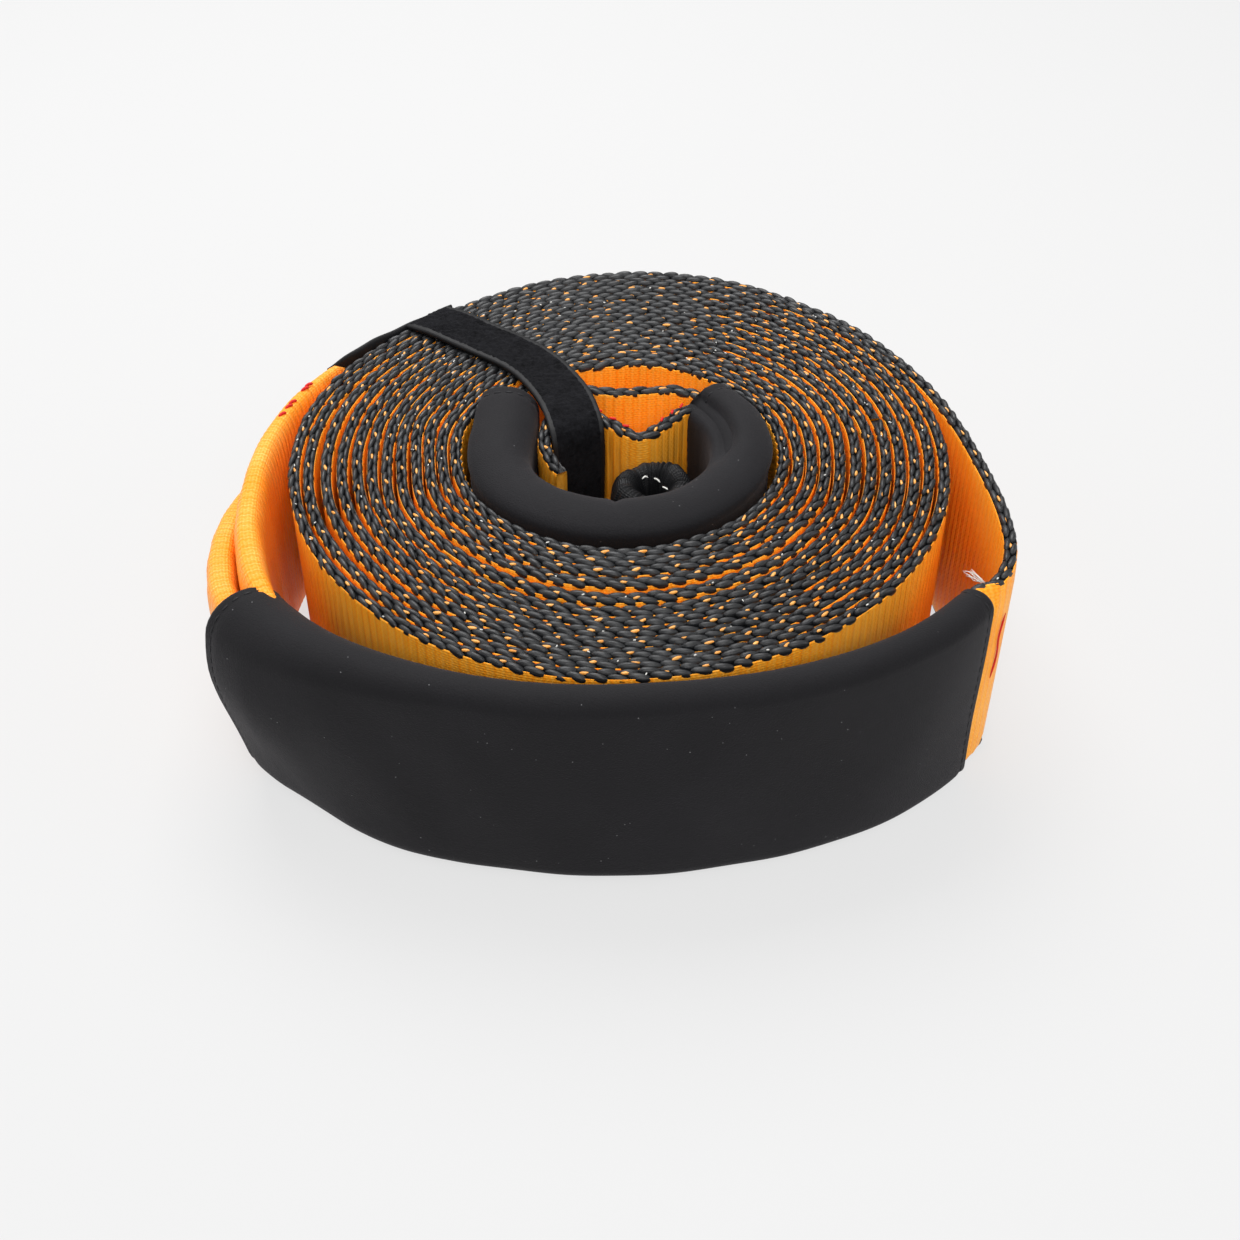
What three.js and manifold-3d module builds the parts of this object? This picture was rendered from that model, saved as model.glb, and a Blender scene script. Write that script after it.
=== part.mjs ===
// A webbing tow strap wound into a coil that lies on its edge, with an eye at each end.
// Each eye carries a soft sleeve, a tie tape goes round the coil, and a gathered bag
// stands in the bore. Millimetres, +Z up, standing on z = 0.
import * as THREE from "three";
import Module from "manifold-3d";

// Driving dimensions
const WEBBING_WIDTH = 75;
const WEBBING_THICKNESS = 4.5;
const TURNS = 12;
const CLEARANCE = 0.3;
const BORE_RADIUS = 49.2;
const SLEEVE_WALL = 3;
const SLEEVE_RISE = 3;
const TAPE_WIDTH = 18;
const TAPE_THICKNESS = 1.6;
const BAG_RADIUS = 13;
const BAG_HEIGHT = 69;
const EDGE_GROOVE_DEPTH = 1.5;
const EDGE_GROOVE_WIDTH = 1.4;
const COIL_SEGMENTS = 40;
const COINCIDENT = 0.02;

// What follows from them
const PITCH = WEBBING_THICKNESS + CLEARANCE;
const COIL_RADIUS = BORE_RADIUS + TURNS * PITCH;
const HALF_PLY = WEBBING_THICKNESS / 2;
const HALF_WIDTH = WEBBING_WIDTH / 2;
const OUTER_TURN = COIL_RADIUS - HALF_PLY - COINCIDENT;
const FIRST_TURN = BORE_RADIUS + HALF_PLY + COINCIDENT;
const SLEEVE_SKIN = SLEEVE_WALL + CLEARANCE;
const EYE_IN_SLEEVE = HALF_PLY + 0.25;
const EYE_CENTRE = COIL_RADIUS + CLEARANCE + SLEEVE_SKIN + EYE_IN_SLEEVE;

const wasm = await Module();
wasm.setup();

// A closed triangle mesh as a solid that can be added, cut or intersected
function solid(vertices, triangles) {
  return new wasm.Manifold(new wasm.Mesh({
    numProp: 3,
    vertProperties: Float32Array.from(vertices),
    triVerts: Uint32Array.from(triangles),
  }));
}

// The same, with its faces turned outwards whichever way round they were listed
function outwards(vertices, triangles) {
  const body = solid(vertices, triangles);
  if (body.volume() > 0) return body;
  for (let index = 0; index < triangles.length; index += 3) {
    [triangles[index], triangles[index + 1]] = [triangles[index + 1], triangles[index]];
  }
  return solid(vertices, triangles);
}

// The result of the solid work as a three.js geometry
function geometryOf(manifold) {
  const mesh = manifold.getMesh();
  const geometry = new THREE.BufferGeometry();
  geometry.setAttribute("position", new THREE.BufferAttribute(mesh.vertProperties, 3));
  geometry.setIndex(new THREE.BufferAttribute(mesh.triVerts, 1));
  return geometry;
}

// The triangles that fill an outline, in the same turning sense as its points
function fill(outline) {
  const sense = Math.sign(THREE.ShapeUtils.area(outline));
  return THREE.ShapeUtils.triangulateShape(outline, []).map(([p, q, r]) => {
    const area = THREE.ShapeUtils.area([outline[p], outline[q], outline[r]]);
    return Math.sign(area) === sense ? [p, q, r] : [r, q, p];
  });
}

// A value that runs smoothly through stops of [position, value]
function along(stops, position) {
  const last = stops.length - 1;
  if (position <= stops[0][0]) return stops[0][1];
  if (position >= stops[last][0]) return stops[last][1];
  const next = stops.findIndex(([at]) => at > position);
  const [fromAt, fromValue] = stops[next - 1];
  const [toAt, toValue] = stops[next];
  const share = THREE.MathUtils.smoothstep(position, fromAt, toAt);
  return fromValue + (toValue - fromValue) * share;
}

// A plan curve through stops of [azimuth in degrees, distance from the coil's axis]
function planCurve(stops) {
  const points = stops.map(([azimuth, radius]) => {
    const angle = THREE.MathUtils.degToRad(azimuth);
    return new THREE.Vector3(radius * Math.cos(angle), radius * Math.sin(angle), 0);
  });
  return new THREE.CatmullRomCurve3(points, false, "centripetal");
}

// A rounded section: half thickness a across the ply, from z low to z high.
// dip lowers the middle of the top edge, and lean lowers the side away from the coil.
function section({ a, low, high, round, dip = 0, lean = 0, arc = 3 }) {
  const corner = Math.min(round, a * 0.98, (high - low) / 2 - 0.1);
  const points = [];
  const corners = [
    [a - corner, low + corner, -90],
    [a - corner, high - corner - lean, 0],
    [-a + corner, high - corner, 90],
    [-a + corner, low + corner, 180],
  ];
  corners.forEach(([u, z, start], index) => {
    if (index === 2) points.push([0, high - dip - lean / 2]);
    for (let step = 0; step < arc; step++) {
      const angle = THREE.MathUtils.degToRad(start + (90 * step) / (arc - 1));
      points.push([u + corner * Math.cos(angle), z + corner * Math.sin(angle)]);
    }
  });
  points.push([0, low]);
  return points;
}

// A solid swept along a plan curve from one share of it to another.
// sectionAt gives the section at an azimuth-free position, the share along the curve.
function sweep(curve, from, to, stations, sectionAt) {
  const vertices = [];
  const triangles = [];
  let count = 0;
  let contour = null;
  for (let station = 0; station <= stations; station++) {
    const share = from + ((to - from) * station) / stations;
    const at = curve.getPointAt(THREE.MathUtils.clamp(share, 0, 1));
    const tangent = curve.getTangentAt(THREE.MathUtils.clamp(share, 0, 1));
    const over = share < 0 ? share : Math.max(0, share - 1);
    at.addScaledVector(tangent, over * curve.getLength());
    const outward = new THREE.Vector3(tangent.y, -tangent.x, 0).normalize();
    const ring = sectionAt(share);
    count = ring.length;
    contour = contour ?? ring.map(([u, z]) => new THREE.Vector2(u, z));
    for (const [u, z] of ring) {
      vertices.push(at.x + outward.x * u, at.y + outward.y * u, z);
    }
  }
  for (let station = 0; station < stations; station++) {
    for (let index = 0; index < count; index++) {
      const next = (index + 1) % count;
      const here = station * count;
      const there = here + count;
      triangles.push(here + index, here + next, there + next);
      triangles.push(here + index, there + next, there + index);
    }
  }
  const end = stations * count;
  for (const [p, q, r] of fill(contour)) {
    triangles.push(r, q, p, end + p, end + q, end + r);
  }
  return outwards(vertices, triangles);
}

// A body turned about the vertical axis from a profile of [radius, z]
function turned(profile, segments) {
  const count = profile.length;
  const vertices = [];
  const triangles = [];
  for (let segment = 0; segment < segments; segment++) {
    const angle = (2 * Math.PI * segment) / segments;
    for (const [radius, z] of profile) {
      vertices.push(radius * Math.cos(angle), radius * Math.sin(angle), z);
    }
  }
  for (let segment = 0; segment < segments; segment++) {
    const here = segment * count;
    const there = ((segment + 1) % segments) * count;
    for (let index = 0; index < count; index++) {
      const next = (index + 1) % count;
      triangles.push(here + index, there + index, there + next);
      triangles.push(here + index, there + next, here + next);
    }
  }
  return outwards(vertices, triangles);
}

// The share of a curve at which it passes an azimuth, counted up from its start
function shareAt(curve, azimuth) {
  const steps = 1200;
  let previous = null;
  let turnedBy = 0;
  for (let step = 0; step <= steps; step++) {
    const point = curve.getPointAt(step / steps);
    const here = THREE.MathUtils.radToDeg(Math.atan2(point.y, point.x));
    if (previous !== null) {
      turnedBy += ((here - previous + 540) % 360) - 180;
    } else {
      turnedBy = (here + 360) % 360;
    }
    previous = here;
    if (turnedBy >= azimuth) return step / steps;
  }
  return 1;
}

// The wound coil: one turned body whose turns show as grooves on both ends
function coilBody() {
  const end = [];
  for (let turn = 0; turn < TURNS; turn++) {
    const inner = BORE_RADIUS + turn * PITCH;
    const outer = inner + PITCH;
    const first = turn === 0;
    const last = turn === TURNS - 1;
    const side = EDGE_GROOVE_WIDTH / 2;
    end.push([first ? inner : inner + side, first ? EDGE_GROOVE_DEPTH : 0]);
    if (first) end.push([inner + side, 0]);
    end.push([outer - side, 0]);
    end.push([outer, EDGE_GROOVE_DEPTH]);
    if (last) end.pop();
    if (last) end.push([outer, EDGE_GROOVE_DEPTH]);
  }
  const bottom = end.map(([radius, depth]) => [radius, depth]);
  const top = end.map(([radius, depth]) => [radius, WEBBING_WIDTH - depth]).reverse();
  return turned([...bottom, ...top], COIL_SEGMENTS);
}

// Stops of [azimuth, distance beyond a radius] as stops of [azimuth, radius]
function stopsBeyond(radius, stops) {
  return stops.map(([azimuth, beyond]) => [azimuth, radius + beyond]);
}

// The outer eye leaves the last turn at the back left, comes round the left side, goes
// along the front in its sleeve, stands off at the right and runs back to the coil.
const outerEye = planCurve(stopsBeyond(OUTER_TURN, [
  [118, 0],
  [132, 0],
  [145, 0],
  [158, 3.07],
  [172, 6.47],
  [185, 10.47],
  [194, 15.97],
  [204, 21.47],
  [214, 23.97],
  [228, 18.97],
  [248, 11.27],
  [270, EYE_CENTRE - OUTER_TURN],
  [292, 11.27],
  [312, 19.07],
  [324, 19.67],
  [333, 19.47],
  [343, 15.97],
  [354, 9.67],
  [368, 4.07],
  [385, 1.07],
  [400, 0],
  [412, 0],
]));
const outerMouthLeft = shareAt(outerEye, 214.5);
const outerMouthRight = shareAt(outerEye, 325.5);

// How the outer eye's webbing is shaped along the curve: plain at both ends, folded
// lengthwise into two lobes on the left, and flat but narrower inside the sleeve.
const outerHalf = [
  [0.1, HALF_PLY],
  [0.2, 6.3],
  [outerMouthLeft - 0.02, 6.3],
  [outerMouthLeft + 0.03, 3.6],
  [0.5, EYE_IN_SLEEVE],
  [1, HALF_PLY],
];
const outerTop = [
  [0.1, WEBBING_WIDTH],
  [0.22, WEBBING_WIDTH - 1],
  [outerMouthLeft, WEBBING_WIDTH - SLEEVE_SKIN],
  [outerMouthRight, WEBBING_WIDTH - SLEEVE_SKIN],
  [outerMouthRight + 0.1, WEBBING_WIDTH],
];
const outerBottom = [
  [0.1, 0],
  [outerMouthLeft, SLEEVE_SKIN],
  [outerMouthRight, SLEEVE_SKIN],
  [outerMouthRight + 0.1, 0],
];
const outerDip = [
  [0.11, 0],
  [0.19, 5],
  [outerMouthLeft - 0.02, 5],
  [outerMouthLeft, 0],
];
const outerLean = [
  [0.1, 0],
  [0.19, 6],
  [outerMouthLeft - 0.02, 6],
  [outerMouthLeft + 0.02, 0],
];

function outerSection(share, skin, arc) {
  return section({
    a: along(outerHalf, share) + skin,
    low: along(outerBottom, share) - skin,
    high: along(outerTop, share) + skin,
    round: Math.min(along(outerHalf, share), 3.4) + skin,
    dip: along(outerDip, share),
    lean: along(outerLean, share),
    arc,
  });
}

// The inner eye leaves the first turn at the back left, goes round the bore in its
// sleeve, and comes back across the bore to the same place.
const innerEye = planCurve(stopsBeyond(FIRST_TURN, [
  [97, 0],
  [108, 0],
  [119, -1.07],
  [131, -4.47],
  [143, -8.07],
  [153, -11.47],
  [166, -14.67],
  [182, -15.27],
  [200, -14.07],
  [218, -12.87],
  [242, -12.47],
  [270, -12.47],
  [300, -12.47],
  [330, -12.67],
  [355, -12.87],
  [380, -13.27],
  [397, -13.17],
  [409, -12.47],
  [421, -14.47],
  [436, -19.07],
  [452, -20.87],
  [466, -18.07],
  [476, -11.47],
  [483, 0],
]));
const innerMouthLeft = shareAt(innerEye, 152.5);
const innerMouthRight = shareAt(innerEye, 404);
const innerMiddle = (innerMouthLeft + innerMouthRight) / 2;
const sleeveTop = WEBBING_WIDTH + SLEEVE_RISE;

const innerHalf = [
  [innerMouthLeft - 0.08, HALF_PLY],
  [innerMouthLeft + 0.01, 6],
  [innerMouthLeft + 0.12, 6.2],
  [innerMiddle, 5.6],
  [innerMouthRight - 0.12, 6.2],
  [innerMouthRight - 0.01, 6],
  [innerMouthRight + 0.08, HALF_PLY],
];
const innerTop = [
  [innerMouthLeft - 0.08, WEBBING_WIDTH],
  [innerMouthLeft, sleeveTop - SLEEVE_SKIN],
  [innerMouthRight, sleeveTop - SLEEVE_SKIN],
  [innerMouthRight + 0.08, WEBBING_WIDTH],
];
const innerBottom = [
  [innerMouthLeft - 0.08, 0],
  [innerMouthLeft, SLEEVE_SKIN],
  [innerMouthRight, SLEEVE_SKIN],
  [innerMouthRight + 0.08, 0],
];

function innerSection(share, skin, arc) {
  return section({
    a: along(innerHalf, share) + skin,
    low: along(innerBottom, share) - skin,
    high: along(innerTop, share) + skin,
    round: along(innerHalf, share) * 0.96 + skin,
    arc,
  });
}

// The folded-back end of the inner eye: it lies on the ply that crosses the bore, dips
// towards the middle in a V, and turns forward beside the tape.
const foldedEnd = planCurve(stopsBeyond(FIRST_TURN, [
  [62, -15.47],
  [55, -23.47],
  [46, -31.47],
  [28, -42.07],
  [92, -41.27],
  [116, -31.97],
  [129, -24.87],
  [143, -23.27],
  [158, -25.67],
  [178, -27.47],
  [200, -28.67],
  [217, -28.67],
]));

function foldedSection() {
  return section({ a: HALF_PLY, low: 0, high: WEBBING_WIDTH, round: 1.6 });
}

// A sleeve: a soft tube round the eye's webbing, open at both mouths
function sleeve(curve, from, to, stations, sectionOf) {
  const skin = sweep(curve, from, to, stations, (share) => sectionOf(share, SLEEVE_SKIN, 4));
  const past = (to - from) / stations;
  const cavity = sweep(
    curve, from - past, to + past, stations + 2,
    (share) => sectionOf(share, CLEARANCE, 3),
  );
  return skin.subtract(cavity);
}

// The tie tape: a closed band that passes from outside the coil, over it, down into the
// bore, and back underneath. Each stop is [x, y, direction of its width in degrees].
const tapeStops = [
  [-71.6, 80.9, 43],
  [-65, 75.2, 46],
  [-47, 60.5, 50],
  [-31, 46, 46],
  [-20.8, 30, 36],
  [-15.8, 16, 28],
  [-13.6, 7.2, 25],
];
const tapeLow = TAPE_THICKNESS / 2;
const tapeHigh = WEBBING_WIDTH + CLEARANCE + TAPE_THICKNESS / 2;
const tapeCorner = 3;

// The centres and width directions of the band, all the way round
function tapeLoop() {
  const [outside] = tapeStops;
  const inside = tapeStops[tapeStops.length - 1];
  const middle = tapeStops.slice(1, -1);
  const heights = [tapeLow + tapeCorner, WEBBING_WIDTH / 2, tapeHigh - tapeCorner];
  const stops = [
    ...heights.map((z) => [...outside, z]),
    ...middle.map((stop) => [...stop, tapeHigh]),
    ...heights.reverse().map((z) => [...inside, z]),
    ...middle.reverse().map((stop) => [...stop, tapeLow]),
  ];
  const centres = stops.map(([x, y, , z]) => new THREE.Vector3(x, y, z));
  const widths = stops.map(([, , angle]) => new THREE.Vector3(angle, 0, 0));
  return {
    path: new THREE.CatmullRomCurve3(centres, true, "centripetal"),
    lean: new THREE.CatmullRomCurve3(widths, true, "centripetal"),
  };
}

// The band as a solid, or the room that it takes with a clearance all round
function band(clearance) {
  const { path, lean } = tapeLoop();
  const stations = 76;
  const half = TAPE_THICKNESS / 2 + clearance;
  const side = TAPE_WIDTH / 2 + clearance;
  const vertices = [];
  const triangles = [];
  for (let station = 0; station < stations; station++) {
    const share = station / stations;
    const at = path.getPoint(share);
    const tangent = path.getTangent(share);
    const angle = THREE.MathUtils.degToRad(lean.getPoint(share).x);
    const across = new THREE.Vector3(Math.cos(angle), Math.sin(angle), 0);
    across.addScaledVector(tangent, -across.dot(tangent)).normalize();
    const normal = new THREE.Vector3().crossVectors(tangent, across);
    for (const [u, v] of [[-side, -half], [side, -half], [side, half], [-side, half]]) {
      const corner = at.clone().addScaledVector(across, u).addScaledVector(normal, v);
      vertices.push(corner.x, corner.y, Math.max(corner.z, clearance > 0 ? -1 : 0));
    }
  }
  for (let station = 0; station < stations; station++) {
    const here = station * 4;
    const there = ((station + 1) % stations) * 4;
    for (let index = 0; index < 4; index++) {
      const next = (index + 1) % 4;
      triangles.push(here + index, here + next, there + next);
      triangles.push(here + index, there + next, there + index);
    }
  }
  return outwards(vertices, triangles);
}

// The gathered bag: a plump upright bundle whose pleats draw in to a hollow at the top
const bagCentre = new THREE.Vector2(9.9, -12.8);

function gatheredBag() {
  const r = BAG_RADIUS;
  const h = BAG_HEIGHT;
  const profile = [
    [0, 0], [r * 0.78, 0], [r * 0.93, 3], [r, 10], [r, h - 12],
    [r * 0.97, h - 6], [r * 0.84, h - 2], [r * 0.62, h], [r * 0.4, h - 1.5],
    [r * 0.24, h - 5], [r * 0.12, h - 9], [0, h - 10],
  ];
  const points = profile.map(([radius, z]) => new THREE.Vector2(radius, z));
  const lathe = new THREE.LatheGeometry(points, 30);
  const position = lathe.getAttribute("position");
  const welded = new Map();
  const vertices = [];
  const remap = [];
  for (let index = 0; index < position.count; index++) {
    const x = position.getX(index);
    const up = position.getY(index);
    const y = position.getZ(index);
    const key = [x, y, up].map((value) => Math.round(value * 1e4)).join();
    if (!welded.has(key)) {
      welded.set(key, vertices.length / 3);
      vertices.push(bagCentre.x + x, bagCentre.y - y, up);
    }
    remap.push(welded.get(key));
  }
  const triangles = [];
  const index = lathe.getIndex().array;
  for (let corner = 0; corner < index.length; corner += 3) {
    const [p, q, s] = [remap[index[corner]], remap[index[corner + 1]], remap[index[corner + 2]]];
    if (p !== q && q !== s && s !== p) triangles.push(p, q, s);
  }
  return outwards(vertices, triangles);
}

// The strap is one piece of webbing: the coil and both of its eyes
const strap = coilBody()
  .add(sweep(outerEye, 0, 1, 68, (share) => outerSection(share, 0, 3)))
  .add(sweep(innerEye, 0, 1, 60, (share) => innerSection(share, 0, 3)))
  .add(sweep(foldedEnd, 0, 1, 24, foldedSection))
  .subtract(band(CLEARANCE));
const outerSleeve = sleeve(outerEye, outerMouthLeft, outerMouthRight, 34, outerSection);
const innerSleeve = sleeve(innerEye, innerMouthLeft, innerMouthRight, 40, innerSection);

// The visible solids with their surfaces
const pieces = [
  ["webbing_strap", strap, { color: 0xf08a1c, roughness: 0.7, metalness: 0 }],
  ["outer_sleeve", outerSleeve, { color: 0x26262a, roughness: 0.85, metalness: 0 }],
  ["inner_sleeve", innerSleeve, { color: 0x242428, roughness: 0.85, metalness: 0 }],
  ["tie_tape", band(0), { color: 0x0c0c0e, roughness: 0.95, metalness: 0 }],
  ["gathered_bag", gatheredBag(), { color: 0x161618, roughness: 0.6, metalness: 0 }],
];

const bounds = pieces.map(([, body]) => body.boundingBox());
const low = [0, 1, 2].map((axis) => Math.min(...bounds.map((box) => box.min[axis])));
const high = [0, 1, 2].map((axis) => Math.max(...bounds.map((box) => box.max[axis])));
const shift = [-(low[0] + high[0]) / 2, -(low[1] + high[1]) / 2, -low[2]];

const group = new THREE.Group();
group.name = "tow_strap";
for (const [name, body, surface] of pieces) {
  const geometry = geometryOf(body.translate(shift));
  geometry.computeVertexNormals();
  const mesh = new THREE.Mesh(geometry, new THREE.MeshStandardMaterial(surface));
  mesh.name = name;
  group.add(mesh);
}

export default group;
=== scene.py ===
"""A coiled webbing tow strap with sleeved eyes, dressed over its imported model.
Lengths in this script are millimetres; metres only where a mesh is made."""
import math

import bpy
import numpy as np
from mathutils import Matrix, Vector


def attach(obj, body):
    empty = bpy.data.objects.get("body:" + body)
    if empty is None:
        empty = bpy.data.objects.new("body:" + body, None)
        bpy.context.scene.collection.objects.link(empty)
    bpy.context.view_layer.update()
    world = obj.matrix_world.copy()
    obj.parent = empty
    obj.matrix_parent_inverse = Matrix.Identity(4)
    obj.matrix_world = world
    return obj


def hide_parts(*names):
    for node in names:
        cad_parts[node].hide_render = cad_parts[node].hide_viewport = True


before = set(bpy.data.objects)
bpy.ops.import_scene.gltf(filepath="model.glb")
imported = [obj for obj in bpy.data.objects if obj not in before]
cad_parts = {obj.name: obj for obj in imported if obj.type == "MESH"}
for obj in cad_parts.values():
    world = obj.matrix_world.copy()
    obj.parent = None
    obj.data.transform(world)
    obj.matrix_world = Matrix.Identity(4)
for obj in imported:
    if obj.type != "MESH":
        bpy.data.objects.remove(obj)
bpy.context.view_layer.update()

MM = 0.001

# Sizes shared with the solids
CENTRE = np.array([2.7919, 5.9494])
WIDTH = 75.0
BORE_RADIUS = 49.2
HALF_PLY = 2.25
FIRST_TURN = BORE_RADIUS + HALF_PLY + 0.02
LOOSE_HALF = 2.1

# The selvedge's braid
BUMP_PITCH = 5.8
FLECK_PITCH = 11.6
END_MARGIN = 1.0


# Curves
def between(p, q, a, b, s):
    """The point at s on the line that is p at a and q at b."""
    return (b - s) / (b - a) * p + (s - a) / (b - a) * q


def catmull(points, closed=False, per_span=24):
    """A smooth polyline through points, with centripetal spacing."""
    p = np.asarray(points, float)
    n = len(p)
    spans = n if closed else n - 1
    out = []
    for i in range(spans):
        if closed:
            q = [p[(i + k - 1) % n] for k in range(4)]
        else:
            first = p[i - 1] if i else 2 * p[0] - p[1]
            last = p[i + 2] if i + 2 < n else 2 * p[-1] - p[-2]
            q = [first, p[i], p[i + 1], last]
        t = [0.0]
        for a, b in zip(q, q[1:]):
            t.append(t[-1] + max(np.linalg.norm(b - a), 1e-6) ** 0.5)
        for s in np.linspace(t[1], t[2], per_span, endpoint=False):
            a = [between(q[k], q[k + 1], t[k], t[k + 1], s) for k in range(3)]
            b = [between(a[k], a[k + 1], t[k], t[k + 2], s) for k in range(2)]
            out.append(between(b[0], b[1], t[1], t[2], s))
    if not closed:
        out.append(p[-1])
    return np.array(out)


def arc_lengths(points):
    """The distance along a polyline at each of its points."""
    return np.concatenate([[0], np.cumsum(np.linalg.norm(np.diff(points, axis=0), axis=1))])


def polar(stops):
    """Plan points from azimuths in degrees and radii."""
    a = np.radians([s[0] for s in stops])
    r = np.array([s[1] for s in stops])
    return np.stack([r * np.cos(a), r * np.sin(a)], 1)


class Path:
    """A plan polyline with its arc length, tangents and a side direction."""

    def __init__(self, points, side=1.0):
        self.p = np.asarray(points, float)
        self.s = arc_lengths(self.p)
        self.length = self.s[-1]
        self.side = side

    def at(self, s):
        s = np.asarray(s, float)
        return np.stack([np.interp(s, self.s, self.p[:, k]) for k in range(2)], -1)

    def tangent(self, s, h=0.6):
        s = np.asarray(s, float)
        a = self.at(np.clip(s - h, 0, self.length))
        b = self.at(np.clip(s + h, 0, self.length))
        t = b - a
        return t / np.maximum(np.linalg.norm(t, axis=-1, keepdims=True), 1e-9)

    def normal(self, s, h=2.0):
        t = self.tangent(s, h)
        return self.side * np.stack([-t[..., 1], t[..., 0]], -1)

    def azimuths(self):
        return np.degrees(np.unwrap(np.arctan2(self.p[:, 1], self.p[:, 0])))


def smooth(x, a, b):
    """A soft step from 0 at a to 1 at b."""
    t = np.clip((np.asarray(x, float) - a) / (b - a), 0, 1)
    return t * t * (3 - 2 * t)


def wave_noise(x, seed, count, low, high):
    """A smooth periodic function of x in turns, about -1 to 1."""
    r = np.random.default_rng(seed)
    out = np.zeros_like(np.asarray(x, float))
    for _ in range(count):
        f = r.integers(low, high + 1)
        out = out + r.uniform(0.4, 1) * np.sin(2 * math.pi * (f * x + r.uniform()))
    return out / (0.55 * count)


# Meshes
def mesh_piece(name, verts, faces, materials, uv=None, index=None):
    """A piece from points in millimetres, with optional per-corner UV and per-face slots."""
    mesh = bpy.data.meshes.new(name)
    full = (np.asarray(verts, np.float64) + [*CENTRE, 0.0]) * MM
    faces = np.asarray(faces, np.int32)
    n, k = faces.shape
    mesh.vertices.add(len(full))
    mesh.vertices.foreach_set("co", full.astype(np.float32).ravel())
    mesh.loops.add(n * k)
    mesh.loops.foreach_set("vertex_index", faces.ravel())
    mesh.polygons.add(n)
    mesh.polygons.foreach_set("loop_start", np.arange(0, n * k, k, dtype=np.int32))
    mesh.polygons.foreach_set("loop_total", np.full(n, k, np.int32))
    if index is not None:
        mesh.polygons.foreach_set("material_index", np.asarray(index, np.int32))
    mesh.update(calc_edges=True)
    mesh.validate()
    if uv is not None:
        layer = mesh.uv_layers.new(name="weave")
        flat = np.asarray(uv, np.float32)[faces.ravel()] * MM
        layer.data.foreach_set("uv", flat.ravel())
    mesh.polygons.foreach_set("use_smooth", np.ones(n, bool))
    obj = bpy.data.objects.new(name, mesh)
    for m in materials:
        mesh.materials.append(m)
    bpy.context.scene.collection.objects.link(obj)
    return obj


def grid_faces(rows, cols, closed_cols=False, closed_rows=False):
    """The quads of a grid of points, closed into a tube or a ring where asked."""
    r = np.arange(rows if closed_rows else rows - 1)
    c = np.arange(cols if closed_cols else cols - 1)
    rr, cc = np.meshgrid(r, c, indexing="ij")
    r1, c1 = (rr + 1) % rows, (cc + 1) % cols
    f = np.stack([rr * cols + cc, rr * cols + c1, r1 * cols + c1, r1 * cols + cc], -1)
    return f.reshape(-1, 4)


# Materials
class Nodes:
    """Short hands for building a node material."""

    def __init__(self, name):
        self.m = bpy.data.materials.new(name)
        self.m.use_nodes = True
        self.t = self.m.node_tree
        self.bsdf = self.t.nodes["Principled BSDF"]

    def new(self, kind):
        return self.t.nodes.new(kind)

    def feed(self, value, socket):
        """Link a node's output to a socket, or set a number or a colour on it."""
        if hasattr(value, "node"):
            self.t.links.new(value, socket)
        else:
            socket.default_value = (*value, 1) if isinstance(value, tuple) else value

    def math(self, op, a, b=None):
        n = self.new("ShaderNodeMath")
        n.operation = op
        for value, socket in zip((a, b), n.inputs):
            if value is not None:
                self.feed(value, socket)
        return n.outputs[0]

    def weigh(self, *pairs):
        """The sum of values, each times its weight."""
        total = None
        for value, weight in pairs:
            term = self.math("MULTIPLY", value, weight)
            total = term if total is None else self.math("ADD", total, term)
        return total

    def mix(self, factor, a, b):
        n = self.new("ShaderNodeMix")
        n.data_type = "RGBA"
        for value, socket in ((factor, 0), (a, 6), (b, 7)):
            self.feed(value, n.inputs[socket])
        return n.outputs[2]

    def ramp(self, value, stops):
        n = self.new("ShaderNodeValToRGB")
        e = n.color_ramp.elements
        while len(e) < len(stops):
            e.new(0.5)
        for k, (position, colour) in enumerate(stops):
            e[k].position = position
            e[k].color = (*colour, 1)
        self.feed(value, n.inputs[0])
        return n.outputs[0]

    def bump(self, height, distance, strength):
        """Relief of a height in metres times distance, on the material's normal."""
        n = self.new("ShaderNodeBump")
        n.inputs["Distance"].default_value = distance
        n.inputs["Strength"].default_value = strength
        self.feed(height, n.inputs["Height"])
        self.feed(n.outputs[0], self.bsdf.inputs["Normal"])

    def set(self, **values):
        names = {
            "colour": "Base Color", "rough": "Roughness", "spec": "Specular IOR Level",
            "sheen": "Sheen Weight", "sheen_rough": "Sheen Roughness",
        }
        for key, value in values.items():
            self.feed(value, self.bsdf.inputs[names[key]])

    def uv(self):
        """The weave layer: the vector, the metres along and the metres across."""
        n = self.new("ShaderNodeUVMap")
        n.uv_map = "weave"
        s = self.new("ShaderNodeSeparateXYZ")
        self.feed(n.outputs[0], s.inputs[0])
        return n.outputs[0], s.outputs[0], s.outputs[1]

    def object(self):
        return self.new("ShaderNodeTexCoord").outputs["Object"]

    def noise(self, vector, scale, detail=3.0, rough=0.55, stretch=None):
        n = self.new("ShaderNodeTexNoise")
        n.inputs["Scale"].default_value = scale
        n.inputs["Detail"].default_value = detail
        n.inputs["Roughness"].default_value = rough
        if stretch is not None:
            m = self.new("ShaderNodeMapping")
            m.inputs["Scale"].default_value = stretch
            self.feed(vector, m.inputs["Vector"])
            vector = m.outputs[0]
        self.feed(vector, n.inputs["Vector"])
        return n.outputs["Fac"]


def turns_per(pitch):
    """Radians for each metre of a wave whose pitch is in millimetres."""
    return 2 * math.pi * 1000.0 / pitch


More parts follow.
